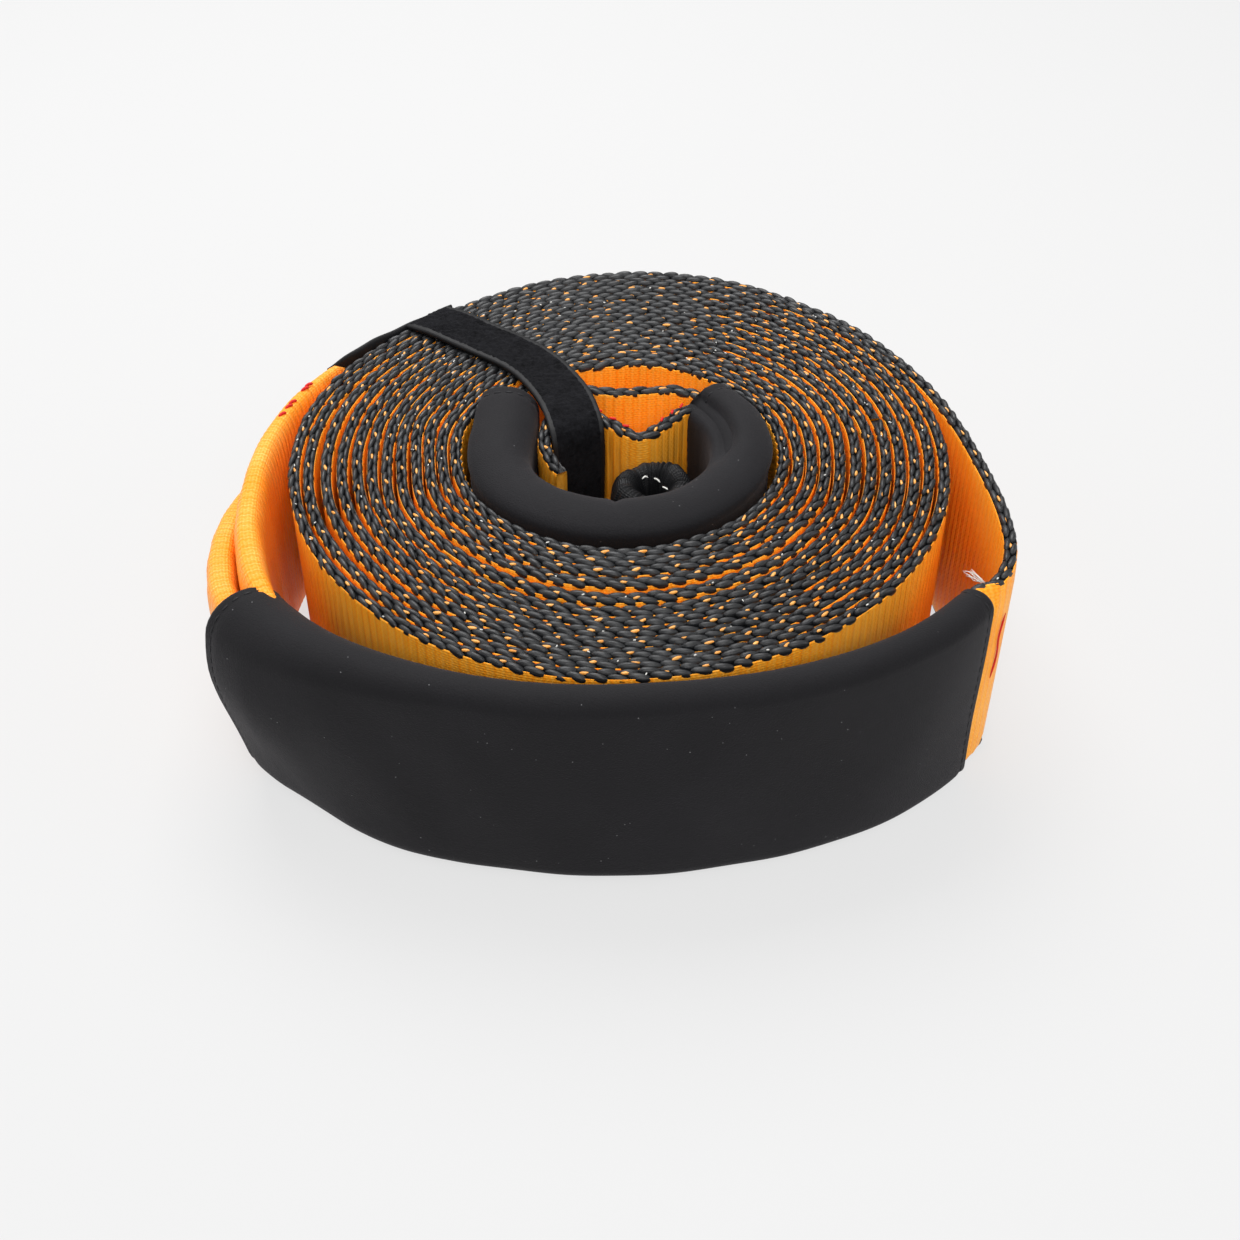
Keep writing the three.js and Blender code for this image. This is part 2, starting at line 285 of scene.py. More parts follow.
def webbing_orange(name, dash=0.35, rib=3.6, base=(1.0, 0.41, 0.030), deep=(1.0, 0.27, 0.004),
                   light=(1.0, 0.46, 0.085)):
    """Orange woven faces: fine warp lines, weft ribs across, and short shiny floats."""
    n = Nodes(name)
    vec, u, v = n.uv()
    warp_pitch, weft_pitch = 0.95, 1.55
    warp = n.math("SINE", n.math("MULTIPLY", v, turns_per(warp_pitch)))
    shift = n.math("MULTIPLY", n.math("SINE", n.math("MULTIPLY", v, turns_per(2 * warp_pitch))), 0.9)
    weft = n.math("SINE", n.math("ADD", n.math("MULTIPLY", u, turns_per(weft_pitch)), shift))
    wob = n.math("MULTIPLY", n.noise(vec, 60, 2), 5.0)
    ribs = n.math("SINE", n.math("ADD", n.math("MULTIPLY", u, turns_per(rib)), wob))
    fine = n.noise(vec, 900, 4, 0.6, (0.35, 2.2, 1))
    weave = n.weigh((warp, 0.30), (weft, 0.42), (fine, 0.9))
    patch = n.noise(vec, 38, 3, 0.6)
    # The tone paints the weave's valleys deeper orange and its peaks lighter orange, as painted shade and
    # painted highlight of the weave, over random broad patches of tone.
    tone = n.weigh((weave, 0.22), (patch, 0.55), (ribs, 0.06))
    colour = n.ramp(tone, [(0.12, deep), (0.42, base), (0.72, light)])
    n.bump(n.weigh((weave, 0.8), (ribs, 0.9)), 0.00022, 0.75)
    rough = n.math("SUBTRACT", 0.62, n.math("MULTIPLY", fine, dash))
    n.set(colour=colour, rough=rough, spec=0.26)
    n.bsdf.inputs["Specular Tint"].default_value = (1.0, 0.72, 0.4, 1)
    return n.m


def yarn_black():
    """Plump black yarns: fine lengthwise fibres, dark grey where they catch light."""
    n = Nodes("yarn_black")
    vec = n.uv()[0]
    fibre = n.noise(vec, 700, 4, 0.65, (0.16, 1.6, 1))
    patch = n.noise(n.object(), 160, 2)
    tone = n.weigh((fibre, 0.7), (patch, 0.35))
    colour = n.ramp(tone, [(0.25, (0.0015, 0.0017, 0.002)), (0.55, (0.0055, 0.006, 0.0075)),
                           (0.8, (0.017, 0.0185, 0.0225))])
    n.bump(fibre, 0.00028, 0.8)
    n.set(colour=colour, rough=n.math("SUBTRACT", 0.62, n.math("MULTIPLY", fibre, 0.34)),
          spec=0.5)
    return n.m


def fleck_yellow():
    """The marker yarn's yellow flecks: lengthwise fibres."""
    n = Nodes("fleck_yellow")
    vec = n.uv()[0]
    fibre = n.noise(vec, 900, 3, 0.6, (0.2, 1.6, 1))
    colour = n.ramp(fibre, [(0.3, (0.80, 0.27, 0.02)), (0.7, (0.95, 0.50, 0.14))])
    n.bump(fibre, 0.0001, 0.6)
    n.set(colour=colour, rough=0.4, spec=0.5)
    return n.m


def thread(name, colour, rough=0.55):
    """A twisted thread of one colour."""
    n = Nodes(name)
    twist = n.noise(n.object(), 2600, 2)
    c = n.mix(twist, tuple(0.7 * x for x in colour), tuple(min(1.0, 1.2 * x) for x in colour))
    n.bump(twist, 0.0001, 0.5)
    n.set(colour=c, rough=rough, spec=0.3)
    return n.m


def neoprene():
    """Knit-faced foam: very fine knit grain, broad soft mottling and pale lint specks."""
    n = Nodes("sleeve_knit")
    shade = (0.0062, 0.0058, 0.0072)
    vec = n.object()
    knit = n.noise(vec, 2400, 2, 0.5)
    broad = n.noise(vec, 26, 4, 0.6)
    lint = n.new("ShaderNodeTexVoronoi")
    lint.feature = "F1"
    lint.inputs["Scale"].default_value = 260
    n.feed(vec, lint.inputs["Vector"])
    speck = n.math("LESS_THAN", lint.outputs["Distance"], 0.045)
    keep = n.math("GREATER_THAN", n.noise(vec, 60, 1), 0.46)
    speck = n.math("MULTIPLY", speck, keep)
    tone = n.weigh((knit, 0.5), (broad, 0.6))
    body = n.ramp(tone, [(0.3, tuple(0.72 * x for x in shade)), (0.55, shade),
                         (0.85, tuple(1.75 * x for x in shade))])
    colour = n.mix(n.math("MULTIPLY", speck, 0.55), body, (0.32, 0.32, 0.33))
    n.bump(n.weigh((knit, 1.0), (broad, 2.0)), 0.00030, 0.75)
    n.set(colour=colour, rough=0.74, spec=0.20, sheen=0.10, sheen_rough=0.4)
    n.bsdf.inputs["Sheen Tint"].default_value = (0.55, 0.52, 0.55, 1)
    return n.m


def fuzz():
    """The tape's loop face: a dense matt nap with irregular tufts."""
    n = Nodes("fuzzy_loop")
    vec = n.object()
    tuft = n.noise(vec, 900, 5, 0.7)
    clump = n.noise(vec, 180, 3, 0.6)
    tone = n.weigh((tuft, 0.6), (clump, 0.4))
    colour = n.ramp(tone, [(0.35, (0.0015, 0.0015, 0.0018)), (0.7, (0.012, 0.012, 0.014))])
    n.bump(n.weigh((tuft, 1.0), (clump, 0.8)), 0.0006, 0.9)
    n.set(colour=colour, rough=0.95, spec=0.05, sheen=0.09, sheen_rough=0.5)
    n.bsdf.inputs["Sheen Tint"].default_value = (0.3, 0.3, 0.33, 1)
    return n.m


def bag_cloth():
    """Thin ribbed cloth of the bag: fine cross ribs with a satin gloss."""
    n = Nodes("bag_cloth")
    vec, _, v = n.uv()
    rib = n.math("SINE", n.math("MULTIPLY", v, turns_per(0.8)))
    fine = n.noise(vec, 800, 3, 0.6)
    colour = n.mix(n.math("MULTIPLY", fine, 0.8), (0.0015, 0.0015, 0.002), (0.0065, 0.0065, 0.008))
    n.bump(n.weigh((rib, 0.6), (fine, 1.0)), 0.00014, 0.7)
    n.set(colour=colour, rough=0.46, spec=0.20)
    return n.m


ORANGE = webbing_orange("webbing_orange")
ORANGE_FOLD = webbing_orange("webbing_fold", dash=0.42, rib=2.6, base=(1.0, 0.36, 0.045),
                             light=(1.0, 0.52, 0.14))
BLACK = yarn_black()
FLECK = fleck_yellow()
PALE = thread("pale_thread", (0.75, 0.74, 0.70))
RED = thread("red_thread", (0.62, 0.012, 0.008))
DARK = thread("dark_thread", (0.012, 0.012, 0.014))
SLEEVE = neoprene()
FUZZ = fuzz()
SMOOTH_TAPE = thread("tape_edge", (0.004, 0.004, 0.005), 0.6)
BAG = bag_cloth()

# The strap's route
TURNS = 12
SPIRAL_START = 110.0
SPIRAL_TRAVEL = 360.0 * TURNS + 55.0
SPIRAL_RADIUS = 50.3
BAND = TURNS * 4.55
SPIRAL_SHIFT = np.array([1.0, -1.0])


def near(azimuth, middle, spread):
    """1 at the azimuth called middle, falling off softly to both sides."""
    away = (np.asarray(azimuth, float) - middle + 180) % 360 - 180
    return np.exp(-(away / spread) ** 2)


def places(azimuth):
    """The shares of front, back and sides at an azimuth."""
    front, back = near(azimuth, 270, 42.0), near(azimuth, 92, 52.0)
    return front, back, np.clip(1 - front - back, 0, 1)


def gaps(azimuth):
    """The visible gap after each turn at an azimuth, in millimetres."""
    turn = np.asarray(azimuth, float) / 360.0
    front, back, sides = places(azimuth)
    left = near(azimuth, 188, 38.0)
    bold, loose = (3, 4), {TURNS - 2: 1.3, TURNS - 3: 0.8, TURNS - 4: 0.5}
    out = []
    for k in range(TURNS):
        wob = 0.5 + 0.5 * wave_noise(turn, 100 + k, 5, 1, 5)
        patch = np.clip(0.55 + 1.1 * wave_noise(turn, 300 + k, 6, 3, 11), 0, 1)
        g = 0.02 + sides * (0.06 + 1.0 * patch + 0.25 * np.clip(wob, 0, 1.2)) + front * 0.10 * wob
        g = g + back * 0.5 * np.clip(patch - 0.72, 0, 1)
        if k in bold:
            g = g + 1.5 * front + 0.2 * sides
        g = g + left * loose.get(k, 0.0)
        out.append(np.maximum(g, 0.06))
    return np.array(out)


# How far the outermost turn stands beyond a circle, in millimetres, by azimuth
OUT_OF_ROUND = [(0, 0.8), (20, 1.6), (40, 2.8), (60, 3.6), (75, 2.9), (90, 2.2), (102, 0.6),
                (115, -2.2), (127, -4.2), (140, -4.0), (155, -1.2), (168, 0.0), (200, 0.3),
                (215, 1.0), (240, 0.8), (270, 0.0), (300, 0.3), (330, 0.3), (360, 0.8)]


def swelling(azimuth):
    """How far the outermost turn stands beyond a circle at an azimuth."""
    a = np.mod(np.asarray(azimuth, float), 360)
    knots, values = zip(*OUT_OF_ROUND)
    spread = [np.interp(np.mod(a + d, 360), knots, values) for d in (-9, -4.5, 0, 4.5, 9)]
    return np.mean(spread, 0)


def coil_points(step):
    """The wound part, outwards and clockwise, with the half thickness at each point."""
    travels = []
    travel = 0.0
    while travel <= SPIRAL_TRAVEL:
        travels.append(travel)
        travel += math.degrees(step / (SPIRAL_RADIUS + BAND * travel / (360.0 * TURNS)))
    tau = np.array(travels)
    azimuth = SPIRAL_START - tau
    g = gaps(azimuth)
    ply = (BAND - g.sum(0)) / TURNS
    pitch = ply[None] + g
    k = np.floor(tau / 360).astype(int)
    f = tau / 360 - k
    below = np.concatenate([np.zeros((1, len(tau))), np.cumsum(pitch, 0)])
    kk = np.minimum(k, TURNS - 1)
    base = below[np.minimum(k, TURNS), np.arange(len(tau))]
    r = SPIRAL_RADIUS + base + f * pitch[kk, np.arange(len(tau))]
    r = r + swelling(azimuth) * ((r - SPIRAL_RADIUS) / BAND) ** 1.3
    a = np.radians(azimuth)
    p = np.stack([r * np.cos(a), r * np.sin(a)], 1) + SPIRAL_SHIFT
    return p, ply / 2


inner_eye = Path(catmull(polar([
    (97, FIRST_TURN), (108, FIRST_TURN), (119, 50.4), (131, 47), (143, 43.4), (153, 40),
    (166, 36.8), (182, 36.2), (200, 37.4), (218, 38.6), (242, 39), (270, 39), (300, 39),
    (330, 38.8), (355, 38.6), (380, 38.2), (397, 38.3), (409, 39), (421, 37), (436, 32.4),
    (452, 30.6), (466, 33.4), (476, 40), (483, FIRST_TURN)])), -1.0)


def s_of(path, azimuth):
    """The distance along a path where it crosses an azimuth."""
    a = path.azimuths()
    a = a + 360 * round((azimuth - a.mean()) / 360)
    return float(np.interp(azimuth, a, path.s))


IN_LEFT, IN_RIGHT = s_of(inner_eye, 144), s_of(inner_eye, 404)
HIDDEN, STEP = 14.0, 1.2

coil, coil_half = coil_points(STEP)

# The main webbing's path, clockwise from the inner sleeve round the coil to the outer sleeve
lead = inner_eye.at(np.arange(IN_LEFT + 16, s_of(inner_eye, 113), -STEP))
right_ply = Path(catmull(polar([
    (312, 122.6), (320, 125.2), (326, 127.8), (331, 130.2), (337, 127.4), (345, 121.4),
    (354, 115.4), (368, 110.2), (385, 107.8), (400, 107.3), (412, 107.6)])), -1.0)
RIGHT_MOUTH = s_of(right_ply, 325.5)
tail = right_ply.at(np.arange(s_of(right_ply, 407), RIGHT_MOUTH - HIDDEN, -STEP))
sleeve_path = Path(catmull(polar([
    (186, 118), (196, 124.5), (204, 129.2), (214, 131.4), (228, 126.2), (248, 117.0), (270, 112.9),
    (292, 115.4), (312, 122.8), (324, 126.2), (333, 127.2), (341, 126)])), -1.0)
OUT_LEFT, OUT_RIGHT = s_of(sleeve_path, 212.8), s_of(sleeve_path, 325.5)
main_points = np.concatenate([lead, coil[14:-8], tail])
main_half = np.concatenate([
    np.full(len(lead), LOOSE_HALF), coil_half[14:-8], np.full(len(tail), LOOSE_HALF)])

# Its joins are eased by a running mean
window = np.ones(9) / 9
for _ in range(2):
    pad = np.concatenate([main_points[:1].repeat(4, 0), main_points, main_points[-1:].repeat(4, 0)])
    main_points = np.stack([np.convolve(pad[:, k], window, "valid") for k in range(2)], 1)
main = Path(main_points, 1.0)
main_azimuth = main.azimuths()
MOUTH_S = main.length - HIDDEN


class Run:
    """A length of webbing on edge: where it goes, its half thickness and its heights."""

    def __init__(self, path, start, end, half, low, high, curl, seed):
        self.path, self.start, self.end = path, start, end
        self.half, self.low, self.high = half, low, high
        self.curl = curl
        self.seed = seed

    def value(self, v, s):
        return v(s) if callable(v) else np.full(np.shape(s), float(v))

    def place(self, s, lateral, z):
        """Points in plan and height for distances along, across and up the webbing."""
        s = np.asarray(s, float)
        lateral = np.asarray(lateral, float) + np.zeros_like(s)
        z = np.asarray(z, float) + np.zeros_like(s)
        if self.curl is not None:
            lateral, z = self.curl(s, lateral, z)
        centre = self.path.at(np.clip(s, 0, self.path.length))
        xy = centre + self.path.normal(s) * lateral[..., None]
        return np.concatenate([xy, z[..., None]], -1)


def strip(run, step, ripple):
    """The woven body of a run, as a closed loop of points swept along it."""
    count = max(4, int(round((run.end - run.start) / step)) + 1)
    s = np.linspace(run.start, run.end, count)
    half = run.value(run.half, s)
    low, high = run.value(run.low, s) + 1.2, run.value(run.high, s) - 1.15
    rise = [(0.7, 0.0), (0.93, 0.008), (1, 0.026), (1, 0.14), (1, 0.3), (1, 0.46), (1, 0.62),
            (1, 0.78), (1, 0.9), (1, 0.974), (0.97, 0.99), (0.9, 0.996), (0.78, 0.986)]
    m = np.array([(-a, b) for a, b in rise] + rise[::-1])
    lateral = m[None, :, 0] * half[:, None]
    z = low[:, None] + m[None, :, 1] * (high - low)[:, None]
    lateral = lateral + ripple(s[:, None], z, m[None, :, 0])
    ss = np.broadcast_to(s[:, None], z.shape)
    points = run.place(ss, lateral, z)
    uv = np.stack([ss, z + 90 * (m[None, :, 0] > 0)], -1)
    rows, cols = z.shape
    faces = grid_faces(rows, cols, closed_cols=True)
    caps = [[0, 1, cols - 2, cols - 1]]
    for k in range(1, cols // 2 - 1):
        caps.append([k, k + 1, cols - 2 - k, cols - 1 - k])
    caps = np.array(caps)
    last = caps[:, ::-1] + (rows - 1) * cols
    index = np.zeros(len(faces) + 2 * len(caps), int)
    middle = cols // 2 - 1
    cell = np.tile(np.arange(cols), rows - 1)
    index[: len(faces)][np.isin(cell, (middle - 1, middle, middle + 1, cols - 1))] = 1
    return points.reshape(-1, 3), np.concatenate([faces, caps, last]), uv.reshape(-1, 2), index


def plump(rings, around):
    """A unit oval with pointed ends along x: its points and its triangles."""
    pts, tris = [(-1.0, 0.0, 0.0)], []
    for i in range(1, rings + 1):
        t = math.pi * i / (rings + 1)
        for j in range(around):
            f = 2 * math.pi * j / around
            r = math.sin(t) ** 0.85
            pts.append((-math.cos(t), r * math.cos(f), r * math.sin(f)))
    pts.append((1.0, 0.0, 0.0))
    last = len(pts) - 1
    for j in range(around):
        k = (j + 1) % around
        tris.append((0, 1 + k, 1 + j))
        for i in range(rings - 1):
            a, b = 1 + i * around, 1 + (i + 1) * around
            tris.append((a + j, a + k, b + k))
            tris.append((a + j, b + k, b + j))
        a = 1 + (rings - 1) * around
        tris.append((a + j, a + k, last))
    return np.array(pts), np.array(tris)


def scatter(run, s, lateral, z, size, slant, template, tilt=0.0):
    """Ovals along a run, each with its own place, size (n, 3), slant and tilt in radians."""
    pts, tris = template
    n = len(s)
    size = np.broadcast_to(np.asarray(size, float), (n, 3))
    slant = np.broadcast_to(np.asarray(slant, float), (n,))
    tilt = np.broadcast_to(np.asarray(tilt, float), (n,))
    local = pts[None] * size[:, None, :]
    x, y, h = local[..., 0], local[..., 1], local[..., 2]
    c, d = np.cos(slant)[:, None], np.sin(slant)[:, None]
    x2, y2 = x * c - y * d, x * d + y * c
    e, g = np.cos(tilt)[:, None], np.sin(tilt)[:, None]
    x3, h3 = x2 * e - h * g, x2 * g + h * e
    ss = s[:, None] + x3
    world = run.place(ss, lateral[:, None] + y2, z[:, None] + h3)
    u = local[..., 0] + 13.7 * np.arange(n)[:, None]
    v = np.arctan2(local[..., 2], local[..., 1]) * size[:, 1:2]
    uv = np.stack([u, v], -1).reshape(-1, 2)
    faces = (tris[None] + (np.arange(n) * len(pts))[:, None, None]).reshape(-1, 3)
    return world.reshape(-1, 3), faces, uv


def join(parts):
    """One mesh's arrays from several."""
    verts, faces, uvs, base = [], [], [], 0
    for v, f, uv in parts:
        verts.append(v)
        faces.append(f + base)
        uvs.append(uv)
        base += len(v)
    return np.concatenate(verts), np.concatenate(faces), np.concatenate(uvs)


PLUMP = plump(6, 8)
PLUMP_COARSE = plump(4, 6)


def selvedge(run, top=True, template=PLUMP):
    """Two staggered rows of plump yarns along an edge, slimmer where the turns part."""
    rng = np.random.default_rng(run.seed + (0 if top else 50))
    n = int((run.end - run.start - 2 * END_MARGIN) / BUMP_PITCH)
    s = run.start + END_MARGIN + BUMP_PITCH * (np.arange(n) + 0.5)
    parts = []
    for side, shift in ((1, 0.0), (-1, BUMP_PITCH / 2)):
        at = s + shift + rng.normal(0, 0.16, n)
        at = np.clip(at, run.start, run.end)
        half = run.value(run.half, at)
        open_share = places(np.interp(at, main.s, main_azimuth))[2] if run.path is main else 0.4
        lateral = side * half * (0.47 - 0.035 * open_share) + rng.normal(0, 0.07, n)
        edge = run.value(run.high if top else run.low, at)
        up = 1.0 if top else -1.0
        z = edge - up * (1.62 + np.abs(rng.normal(0, 0.2, n)))
        long = 3.25 * (1 + rng.normal(0, 0.06, n))
        wide = half * (0.60 - 0.085 * open_share) * (1 + rng.normal(0, 0.06, n))
        tall = 1.6 * (1 + rng.normal(0, 0.05, n))
        size = np.stack([long, wide, tall], 1)
        slant = np.radians(side * -5.0 - 5.0 + rng.normal(0, 3.5, n))
        tilt = np.radians(rng.normal(6.0, 4.0, n)) * up
        parts.append(scatter(run, at, lateral, z, size, slant, template, tilt))
    return join(parts)


def fleck_rows(run):
    """Yellow flecks of the marker yarn, in one row along the middle of the upper edge."""
    rng = np.random.default_rng(run.seed + 90)
    n = int((run.end - run.start - 4) / FLECK_PITCH)
    s = run.start + 2 + FLECK_PITCH * (np.arange(n) + 0.5) + rng.normal(0, 0.5, n)
    lateral = rng.normal(0.0, 0.22, n)
    z = run.value(run.high, s) - 0.98 + rng.normal(0, 0.12, n)
    size = np.stack([rng.uniform(1.1, 1.65, n), rng.uniform(0.38, 0.55, n), rng.uniform(0.5, 0.62, n)], 1)
    slant = np.radians(14 + rng.normal(0, 8, n))
    return scatter(run, s, lateral, z, size, slant, PLUMP_COARSE, np.radians(rng.normal(0, 5, n)))


def pale_dots(run):
    """Scattered pale fibre ends on the upper edge."""
    rng = np.random.default_rng(run.seed + 200)
    n = int((run.end - run.start - 4) / (FLECK_PITCH * 2.6))
    s = np.sort(rng.uniform(run.start + 3, run.end - 3, n))
    lateral = rng.normal(0.0, 0.9, n)
    z = run.value(run.high, s) - 0.55 - 0.5 * np.abs(lateral) ** 1.5
    size = np.stack([rng.uniform(0.35, 0.7, n), np.full(n, 0.22), np.full(n, 0.3)], 1)
    return scatter(run, s, lateral, z, size, np.radians(rng.normal(0, 40, n)), plump(2, 5))


# The runs of webbing
def half_at(s):
    """The main webbing's half thickness."""
    return np.interp(s, main.s, main_half)


def curl_top(s, lateral, z):
    """The right ply's upper edge folds inwards just before the sleeve."""
    near = smooth(s, MOUTH_S - 30, MOUTH_S - 3)
    sharp = smooth(s, MOUTH_S - 7, MOUTH_S + 2)
    root, bend = 67.0, 5.5
    turn = np.radians(16 * near + 78 * sharp)
    arm = np.maximum(z - root, 0)
    share = np.minimum(arm / bend, 1)
    angle = turn * share
    inner = np.where(turn > 1e-4, (1 - np.cos(angle)) / np.maximum(turn, 1e-4), 0.0) * bend
    risen = np.where(turn > 1e-4, np.sin(angle) / np.maximum(turn, 1e-4), share) * bend
    past = np.maximum(arm - bend, 0)
    inner = inner + past * np.sin(turn)
    risen = risen + past * np.cos(turn)
    above = z > root
    new_lateral = lateral * np.cos(angle) - inner
    new_z = root + risen + lateral * np.sin(angle)
    return np.where(above, new_lateral, lateral), np.where(above, new_z, z)


def wobble_high(seed, amount=0.35):
    """An upper edge that is a little uneven along its length."""
    def high(s):
        return WIDTH - 0.15 - amount * (0.5 + 0.5 * wave_noise(np.asarray(s) / 420.0, seed, 6, 1, 9))
    return high


def coil_high(s):
    """The upper edge: a little uneven, and stepped down outwards over the front."""
    azimuth = np.interp(s, main.s, main_azimuth)
    turn = (main_azimuth[0] - azimuth) / 360.0
    front = near(azimuth, 268, 50.0)
    step = 0.9 * smooth(turn, 4.15, 4.45) + 0.9 * smooth(turn, 5.15, 5.45)
    return wobble_high(5)(s) - front * step


coil_run = Run(main, 0.0, main.length, half_at, 0.0, coil_high, curl_top, 11)
ply_path = Path(inner_eye.at(np.arange(IN_RIGHT - 16, inner_eye.length - 2, 1.2)), -1.0)
ply_run = Run(ply_path, 0.0, ply_path.length, LOOSE_HALF, 0.0, wobble_high(6), None, 23)
fold_path = Path(catmull([
    (24.6, 22.6), (20.6, 19.6), (15.5, 13.4), (10.6, 8), (6.9, 5.6),
    (3, 7.4), (-3.5, 13.4), (-10.3, 19.1), (-17.5, 19.5), (-22.5, 16), (-24, 9.5),
    (-24, 0.8), (-21.4, -7.8), (-18.2, -13.7)]), 1.0)
fold_run = Run(fold_path, 0.0, fold_path.length, LOOSE_HALF, 0.0, wobble_high(7, 0.5), None, 37)


def wall_ripple(s, z, side):
    """Upright ripples where the first turn lines the bore, and faint ones elsewhere."""
    lead_end = 330.0
    inner = (side < 0) * (1 - smooth(s, lead_end, lead_end + 60))
    phase = 2 * math.pi * s / 3.9 + 1.6 * np.sin(s / 17.0) + 0.5 * np.sin(z / 19.0 + s / 9.0)
    amount = 0.30 + 0.14 * np.sin(s / 11.3 + 1)
    outer = (side > 0) * smooth(s, main.length - 330, main.length - 280)
    return -np.sin(phase) * amount * inner + 0.10 * np.sin(phase * 0.9 + z / 30.0) * outer


def loose_ripple(pitch, drift):
    """Upright ripples on both faces of a loose ply."""
    def ripple(s, z, side):
        return 0.24 * np.sin(2 * math.pi * s / pitch + np.sin(s / drift)) * np.sign(side)
    return ripple


def add_run(name, run, step, parts, ripple):
    """A run's woven body, the yarns of both edges, the flecks and the fibre ends."""
    made = []
    edges = np.linspace(run.start, run.end, parts + 1)
    for k in range(parts):
        part = Run(run.path, edges[k], edges[k + 1], run.half, run.low, run.high, run.curl,
                   run.seed + 7 * k)
        tag = f"{name}_{k + 1}" if parts > 1 else name
        v, f, uv, index = strip(part, step, ripple)
        made.append(mesh_piece(tag, v, f, [ORANGE, BLACK], uv, index))
        v, f, uv = selvedge(part, True)
        made.append(mesh_piece(tag + "_top_yarns", v, f, [BLACK], uv))
        v, f, uv = selvedge(part, False, PLUMP_COARSE)
        made.append(mesh_piece(tag + "_foot_yarns", v, f, [BLACK], uv))
        v, f, uv = fleck_rows(part)
        made.append(mesh_piece(tag + "_flecks", v, f, [FLECK], uv))
        v, f, uv = pale_dots(part)
        made.append(mesh_piece(tag + "_pale", v, f, [PALE], uv))
    return made


webbing = add_run("strap", coil_run, 1.9, 2, wall_ripple)
webbing += add_run("crossing_ply", ply_run, 1.6, 1, loose_ripple(3.7, 7))
webbing += add_run("folded_ply", fold_run, 1.6, 1, loose_ripple(3.4, 5))


def lobe(name, route, half, low, high, seed):
    """A lengthwise fold of webbing: a soft upright loop with a rounded top."""
    path = Path(catmull(polar(route)), -1.0)
    rows = int(path.length / 1.3)
    s = np.linspace(0, path.length, rows)
    share = s / path.length
    around = 56
    f = 2 * math.pi * np.arange(around) / around
    h, lo, hi = (np.interp(share, *zip(*stops)) for stops in (half, low, high))
    mid, tall = (lo + hi) / 2, (hi - lo) / 2
    c, d = np.cos(f), np.sin(f)
    lateral = h[:, None] * np.sign(c) * np.abs(c) ** 0.62
    z = mid[:, None] + tall[:, None] * np.sign(d) * np.abs(d) ** 0.30
    soft = wave_noise(s / 130.0, seed, 5, 1, 5)[:, None] * np.cos(f + 0.8)
    soft = soft + 0.6 * wave_noise(s / 60.0, seed + 1, 4, 1, 5)[:, None] * np.sin(2 * f)
    lateral = lateral * (1 + 0.07 * soft) + 0.10 * np.sin(2 * math.pi * s / 2.9)[:, None] * np.sign(c)
    xy = path.at(s)[:, None] + path.normal(s)[:, None] * lateral[..., None]
    points = np.concatenate([xy, z[..., None]], -1)
    ring = arc_lengths(points[rows // 2])
    uv = np.stack([np.broadcast_to(s[:, None], z.shape), np.broadcast_to(ring[None], z.shape)], -1)
    faces = grid_faces(rows, around, closed_cols=True)
    caps = np.array([[k, k + 1, around - 2 - k, around - 1 - k] for k in range(around // 2 - 1)])
    faces = np.concatenate([faces, caps[:, ::-1], caps + (rows - 1) * around])
    return mesh_piece(name, points.reshape(-1, 3), faces, [ORANGE_FOLD], uv.reshape(-1, 2))


webbing.append(lobe(
    "folded_leg_near",
    [(152.5, 106.4), (157, 107.4), (162, 108.6), (168, 110.3), (180, 113.6),
     (195, 118.2), (205, 122.2), (214, 125.0), (222, 124.5)],
    [(0, 1.2), (0.03, 2.5), (0.12, 3.0), (0.3, 3.8), (0.6, 4.6), (0.85, 4.6), (1, 3.6)],
    [(0, 3), (1, 3.8)],
    [(0, 71), (0.03, 74), (0.2, 75), (0.5, 75.0), (0.85, 74), (1, 70)], 3))
webbing.append(lobe(
    "folded_leg_far",
    [(164, 110.6), (171, 113.4), (180, 119.0), (190, 124.8), (200, 129.8), (208, 132.8),
     (216, 133.6), (224, 129)],
    [(0, 1.5), (0.25, 3.8), (0.6, 4.9), (0.85, 4.7), (1, 3.2)],
    [(0, 3.5), (0.55, 4.5), (0.72, 16), (0.85, 34), (1, 44)],
    [(0, 48), (0.2, 58), (0.5, 64), (0.85, 67), (1, 66)], 8))


# The sleeves
RIM, SLEEVE_FOOT = 1.2, 0.25


def stadium(a, low, high, rnd, arc=15, side=11):
    """A ring of (lateral, z) with round top and bottom, from the outer side up."""
    t = np.linspace(0, math.pi, arc)
    top = np.stack([a * np.cos(t), high - rnd + rnd * np.sin(t)], 1)
    bottom = np.stack([-a * np.cos(t), low + rnd - rnd * np.sin(t)], 1)
    k = np.linspace(0, 1, side + 2)[1:-1]
    down = np.stack([np.full(side, -a), (high - rnd) + (low - high + 2 * rnd) * k], 1)
    up = np.stack([np.full(side, a), (low + rnd) + (high - low - 2 * rnd) * k], 1)
    return np.concatenate([top, down, bottom, up])


